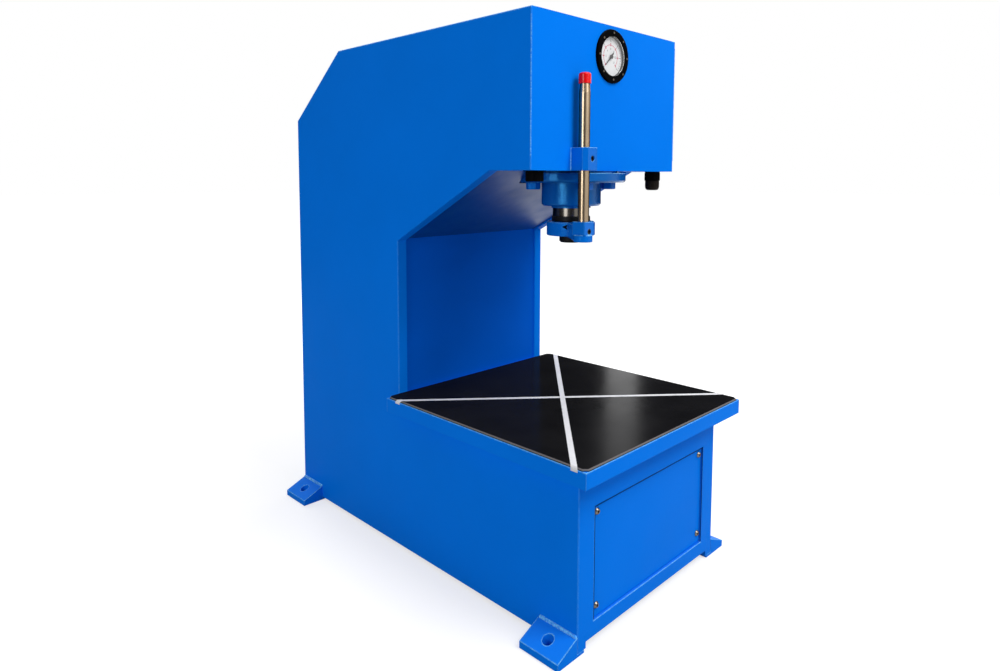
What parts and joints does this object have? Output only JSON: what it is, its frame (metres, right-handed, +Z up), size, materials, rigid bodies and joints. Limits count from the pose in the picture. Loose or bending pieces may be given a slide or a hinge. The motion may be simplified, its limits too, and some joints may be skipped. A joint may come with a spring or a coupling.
{
  "type": "hydraulic press",
  "caption": "Bench-top C-frame hydraulic press with a welded plate frame, square work table, vertical ram, guide rod with bracket and a front pressure gauge.",
  "frame": {"origin": "on the floor under the middle of the machine", "axes": "+Z up, -Y to the front where the throat opens, +X to the operator's right"},
  "size_m": [0.49, 0.804, 0.95],
  "materials": {
    "frame_paint": "satin-gloss blue enamel with a fine orange-peel surface",
    "cover_paint": "satin-gloss blue enamel",
    "black_oxide": "black oxide, lightly oiled",
    "table_black": "gloss black sheet",
    "strip_white": "white marking strip",
    "bare_steel": "machined steel",
    "hard_chrome": "ground hard chrome",
    "cap_red": "moulded red plastic",
    "gland_black": "moulded black plastic",
    "gland_brown": "dark brown moulded plastic",
    "gauge_black": "black enamelled gauge case",
    "dial_white": "white printed dial",
    "lens": "clear",
    "brass": "machined brass",
    "bronze": "bearing bronze",
    "seal": "seal rubber",
    "grey_cast": "grey enamelled casting"
  },
  "bodies": {
    "press_frame": {"side_plate_left": "frame_paint", "side_plate_right": "frame_paint", "throat_plate": "frame_paint", "throat_slope_plate": "frame_paint", "arm_bottom_plate": "frame_paint", "arm_front_plate": "frame_paint", "arm_top_plate": "frame_paint", "rear_slope_plate": "frame_paint", "rear_plate": "frame_paint", "base_floor_plate": "frame_paint", "base_front_plate": "frame_paint", "foot_front_left": "frame_paint", "foot_front_right": "frame_paint", "foot_rear_left": "frame_paint", "foot_rear_right": "frame_paint", "table_plate": "frame_paint", "guide_bracket": "frame_paint", "cylinder_body": "frame_paint", "cylinder_cap": "frame_paint", "cylinder_bolts": "frame_paint", "rod_gland": "frame_paint", "access_panel": "cover_paint", "rear_cover": "cover_paint", "access_panel_screws": "black_oxide", "rear_cover_screws": "black_oxide", "bracket_set_screw": "black_oxide", "table_sheet": "table_black", "centre_strips": "strip_white", "gauge_screws": "bare_steel", "pressure_pipe": "bare_steel", "return_pipe": "bare_steel", "gland_left": "gland_black", "gland_right": "gland_black", "gland_locknuts": "gland_black", "gland_right_nut": "gland_brown", "gauge_case": "gauge_black", "gauge_dial": "dial_white", "gauge_lens": "lens", "gauge_stem": "brass", "gauge_pipe": "brass", "guide_bush": "bronze", "wiper_seal": "seal", "tank_rails": "grey_cast", "oil_tank": "grey_cast", "tank_lid": "grey_cast", "pump": "grey_cast", "motor": "grey_cast", "valve_block": "grey_cast"},
    "ram": {"ram_rod": "hard_chrome", "piston": "grey_cast", "piston_seal": "seal", "piston_nut": "bare_steel", "lock_ring": "black_oxide", "clamp_collar": "frame_paint", "clamp_screw": "bare_steel", "collar_set_screw": "black_oxide", "press_nose": "black_oxide", "guide_rod": "bare_steel", "rod_cap": "cap_red"},
    "pointer": {"gauge_pointer": "gauge_black"}
  },
  "joints": [
    {"name": "ram_stroke", "type": "slide", "parent": "press_frame", "child": "ram", "axis": [0, 0, -1], "range_m": [0, 0.095]},
    {"name": "gauge_sweep", "type": "hinge", "parent": "press_frame", "child": "pointer", "pos_m": [0, -0.27, 0.9], "axis": [0, 1, 0], "range_deg": [0, 270], "stiffness_Nm_per_rad": 0.001}
  ]
}
